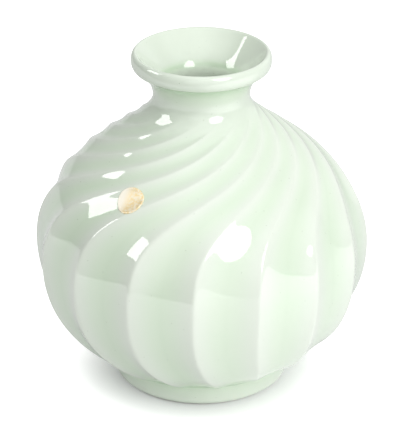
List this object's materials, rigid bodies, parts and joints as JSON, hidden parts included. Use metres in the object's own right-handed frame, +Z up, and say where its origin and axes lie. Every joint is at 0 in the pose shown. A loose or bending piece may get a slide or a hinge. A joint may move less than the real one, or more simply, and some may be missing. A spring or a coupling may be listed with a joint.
{
  "type": "vase",
  "caption": "Round celadon vase with concave flutes that swirl up over the shoulder to a short neck with a flared mouth and a rounded lip, standing on a foot ring, with a small foil seal.",
  "frame": {"origin": "middle of the foot's base, on the table", "axes": "+Z up along the axis of the vase, front towards -Y, the foil seal to the left of the front"},
  "size_m": [0.1502, 0.1502, 0.157],
  "materials": {
    "celadon_glaze": "glossy pale green glaze",
    "gold_foil": "worn metallic gold foil on a gummed paper back"
  },
  "bodies": {
    "root": {"vase_body": "celadon_glaze", "foil_seal": "gold_foil"}
  },
  "joints": []
}
